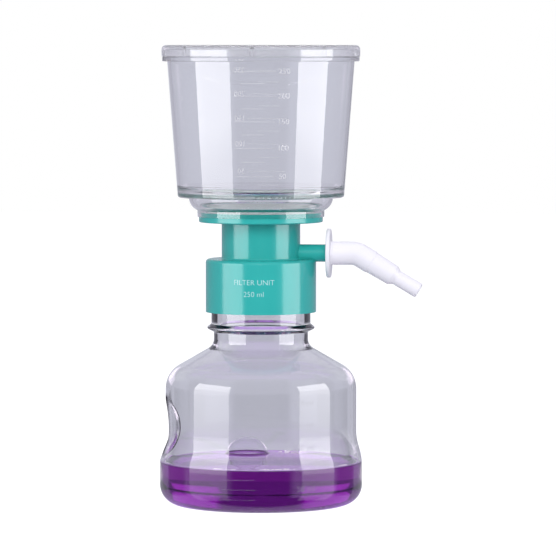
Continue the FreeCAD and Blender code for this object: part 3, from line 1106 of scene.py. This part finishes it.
def studio_world():
    """White to the camera, one shade to matt surfaces, and a grey with patches to other rays."""
    world = bpy.data.worlds.new("studio")
    tree = emptied(world)
    path = tree.add("ShaderNodeLightPath")
    direction = tree.add("ShaderNodeTexCoord")["Generated"]
    ahead, aside = (
        tree.add("ShaderNodeVectorMath", {"operation": "DOT_PRODUCT"}, {0: direction, 1: way})["Value"]
        for way in (away, right)
    )
    rise = tree.add("ShaderNodeSeparateXYZ", {}, {0: direction})["Z"]
    azimuth = aside.maths("ARCTAN2", aside, ahead) * math.degrees(1)
    turn = azimuth.maths("ABSOLUTE", azimuth)
    elevation = rise.maths("ARCSINE", rise) * math.degrees(1)
    colour = shade_between(tree, between(tree, elevation, *horizon_blend), card_low, card_high)
    for shade, azimuths, elevations, soft, mirrored in world_patches:
        share = window(tree, turn, azimuths, soft) * window(tree, elevation, elevations, soft)
        if not mirrored:
            share = share * path["Is Transmission Ray"]
        colour = shade_between(tree, share, colour, shade)
    colour = shade_between(tree, path["Is Diffuse Ray"], colour, card_matt)
    indirect = tree.add("ShaderNodeBackground", {}, {"Color": colour, "Strength": 1.0})
    white = tree.add("ShaderNodeBackground", {}, {"Color": (1, 1, 1, 1), "Strength": 1.0})
    seen = tree.add("ShaderNodeMixShader", {}, {0: path["Is Camera Ray"], 1: indirect[0], 2: white[0]})
    tree.add("ShaderNodeOutputWorld", {}, {"Surface": seen[0]})
    return world


scene.world = studio_world()
print("world:", scene.world.name)

# %% [markdown]
# ## Floor
#
# The floor has to be as white as the background and still show a trace of the object's shade. A
# matt surface alone would be too dark for that, so it gives off most of its white itself. It shows
# to the camera alone. Only the stage and the world do this, never a piece of the object.

# %% Lay the floor
floor_half = 3.0
floor_drop = 0.2 * mm
floor_glow = 0.84
floor_matt = (0.4, 0.4, 0.4)


def floor_finish():
    """White, with a trace of the object's shade."""
    material = bpy.data.materials.new("floor")
    tree = emptied(material)
    glow = tree.add("ShaderNodeEmission", {}, {"Color": (1, 1, 1, 1), "Strength": floor_glow})
    matt = tree.add("ShaderNodeBsdfDiffuse", {}, {"Color": (*floor_matt, 1)})
    lit = tree.add("ShaderNodeAddShader", {}, {0: glow[0], 1: matt[0]})
    tree.add("ShaderNodeOutputMaterial", {}, {"Surface": lit[0]})
    return material


floor_mesh = bpy.data.meshes.new("floor")
corners = [(x * floor_half, y * floor_half, -floor_drop) for x, y in [(-1, -1), (1, -1), (1, 1), (-1, 1)]]
floor_mesh.from_pydata(corners, [], [(0, 1, 2, 3)])
floor_mesh.materials.append(floor_finish())
floor = bpy.data.objects.new("floor", floor_mesh)
floor.visible_glossy = False
floor.visible_transmission = False
floor.visible_diffuse = False
scene.collection.objects.link(floor)
print("floor:", 2 * floor_half, "m wide")

# %% [markdown]
# ## Cards on the table
#
# A dyed liquid glows only if light comes through it, so a pale sheet lies behind the bottle and a
# lavender one under it. A dark card on either side gives the walls some shade. A card with hard
# edges would show through the plastic as a shape, so each fades out towards its edges. Only bent
# and mirrored light meets them, not the camera.

# %% Stand the cards
upright = [(150, 85, -60), (168, -20, -60), (168, -20, 66), (150, 85, 66)]
cards = [
    # (name, corners in mm as steps to the right and away and heights, shade)
    ("card_left", [(-x, y, z) for x, y, z in upright], (0.12, 0.12, 0.14)),
    ("card_right", upright, (0.12, 0.12, 0.14)),
    ("sheet_behind", [(-130, 85, -1), (130, 85, -1), (130, 215, -1), (-130, 215, -1)], (0.85, 0.85, 0.9)),
    ("sheet_under", [(-52, -34, -1), (52, -34, -1), (52, 90, -1), (-52, 90, -1)], (0.60, 0.42, 0.86)),
]
card_fade = 0.16
card_corners = [(0, 0), (1, 0), (1, 1), (0, 1)]


def card_finish(shade):
    """A card that gives back the same light at every angle and fades out at its edges."""
    material = bpy.data.materials.new("card")
    tree = emptied(material)
    place = tree.add("ShaderNodeSeparateXYZ", {}, {0: tree.add("ShaderNodeTexCoord")["UV"]})
    middle = (card_fade, 1 - card_fade)
    share = window(tree, place["X"], middle, card_fade) * window(tree, place["Y"], middle, card_fade)
    glow = tree.add("ShaderNodeEmission", {}, {"Color": (*shade, 1), "Strength": 1.0})
    gone = tree.add("ShaderNodeBsdfTransparent")
    soft = tree.add("ShaderNodeMixShader", {}, {0: share, 1: gone[0], 2: glow[0]})
    tree.add("ShaderNodeOutputMaterial", {}, {"Surface": soft[0]})
    return material


for name, corners, shade in cards:
    mesh = bpy.data.meshes.new(name)
    points = [right * x * mm + away * y * mm + Vector((0, 0, z * mm)) for x, y, z in corners]
    mesh.from_pydata(points, [], [(0, 1, 2, 3)])
    unwrapped = mesh.uv_layers.new(name="card").uv
    for i, corner in enumerate(card_corners):
        unwrapped[i].vector = corner
    mesh.materials.append(card_finish(shade))
    card = bpy.data.objects.new(name, mesh)
    card.visible_camera = False
    card.visible_diffuse = False
    card.visible_shadow = False
    scene.collection.objects.link(card)
print("cards:", len(cards))

# %% [markdown]
# ## Tall lamps at the sides
#
# Two tall lamps lay the long white bands on every wall. A band runs from where the surface mirrors
# the lamp's near edge to where it mirrors the far one, so each lamp is given by two upright edges,
# and an area lamp is stretched between them. It is dimmer near its foot and a little stronger at
# the funnel's height. It ends not far above the lid, because the lid's top would mirror a taller
# one and turn white. It is mirrored only: seen through the plastic, it would wash out the funnel.

# %% Place the tall lamps
lamp_top = 240 * mm
lamp_bottom = -260 * mm
fade_low = -30 * mm
fade_high = 50 * mm
lift_heights = (95 * mm, 125 * mm)
top_lift = 1.4
strip_lamps = [
    # (name, near and far edge in mm as steps to the right and away, radiance, share of it at the foot)
    ("lamp_left", (-213, -288), (-359, -38), 4.2, 0.19),
    ("lamp_right", (260, -262), (360, -20), 4.4, 0.23),
]


def lamp_glow(lamp, low_share):
    """Makes a lamp dimmer near its foot and stronger at the funnel's height."""
    tree = emptied(lamp)
    place = tree.add("ShaderNodeNewGeometry")["Parametric"]
    share = tree.add("ShaderNodeSeparateXYZ", {}, {0: place})["Y"]
    height = lamp_bottom + share * lamp.size_y
    strength = low_share + between(tree, height, fade_low, fade_high) * (1 - low_share)
    strength = strength * (1 + between(tree, height, *lift_heights) * (top_lift - 1))
    glow = tree.add("ShaderNodeEmission", {}, {"Color": (1, 1, 1, 1), "Strength": strength})
    tree.add("ShaderNodeOutputLight", {}, {"Surface": glow[0]})


def strip_lamp(name, near_edge, far_edge, radiance, low_share):
    """A tall area lamp between two upright edges, facing the object."""
    ends = [right * (x * mm) + away * (y * mm) for x, y in (near_edge, far_edge)]
    lamp = bpy.data.lights.new(name, "AREA")
    lamp.shape = "RECTANGLE"
    lamp.size = (ends[1] - ends[0]).length
    lamp.size_y = lamp_top - lamp_bottom
    lamp.energy = radiance * math.pi * lamp.size * lamp.size_y
    lamp_glow(lamp, low_share)
    holder = bpy.data.objects.new(name, lamp)
    middle = (ends[0] + ends[1]) / 2 + Vector((0, 0, (lamp_top + lamp_bottom) / 2))
    facing = (ends[1] - ends[0]).cross(Vector((0, 0, 1)))
    if facing.dot(middle) > 0:
        facing = -facing
    holder.matrix_world = Matrix.Translation(middle) @ facing.to_track_quat("-Z", "Y").to_matrix().to_4x4()
    holder.visible_camera = False
    holder.visible_transmission = False
    holder.visible_diffuse = False
    scene.collection.objects.link(holder)
    print(name, "is", round(lamp.size / mm), "mm wide")


for row in strip_lamps:
    strip_lamp(*row)

# %% [markdown]
# ## Round lamps for matt surfaces
#
# The tall lamps are only mirrored, so the teal and white parts need light of their own. A wide lamp
# in front and above gives most of it, and a weak one straight overhead softens what that leaves
# dark. They aren't mirrored, or each would put a round spot on every wall.

# %% Place the round lamps
fill_size = 0.8
front_distance = 1.2
front_rise = 0.35
overhead_height = 1.1


def fill_lamp(name, place, radiance):
    """A round lamp aimed at the collar that lights matt surfaces and isn't mirrored."""
    lamp = bpy.data.lights.new(name, "AREA")
    lamp.shape = "DISK"
    lamp.size = fill_size
    lamp.energy = radiance * math.pi * math.pi * fill_size * fill_size / 4
    holder = bpy.data.objects.new(name, lamp)
    aim = (Vector((0, 0, view_height)) - place).to_track_quat("-Z", "Y").to_matrix().to_4x4()
    holder.matrix_world = Matrix.Translation(place) @ aim
    holder.visible_camera = False
    holder.visible_glossy = False
    holder.visible_transmission = False
    scene.collection.objects.link(holder)
    print(name, "stands", round(place.length, 2), "m away")


fill_lamp("lamp_front", target + back_off * front_distance + Vector((0, 0, front_rise)), radiance=5.4)
fill_lamp("lamp_overhead", Vector((0, 0, overhead_height)), radiance=1.4)

# %% [markdown]
# ## Plain colours and many bends
#
# The Standard view shows white as white, where a filmic one would grey it. A ray through the bottle
# passes wall after wall and turns black if it runs out of bends, so more are allowed than usual.

# %% Set the view and the bounces
bounces = 24
scene.view_settings.view_transform = "Standard"
scene.cycles.max_bounces = bounces
scene.cycles.transmission_bounces = bounces
scene.cycles.glossy_bounces = bounces
print("bounces:", bounces)
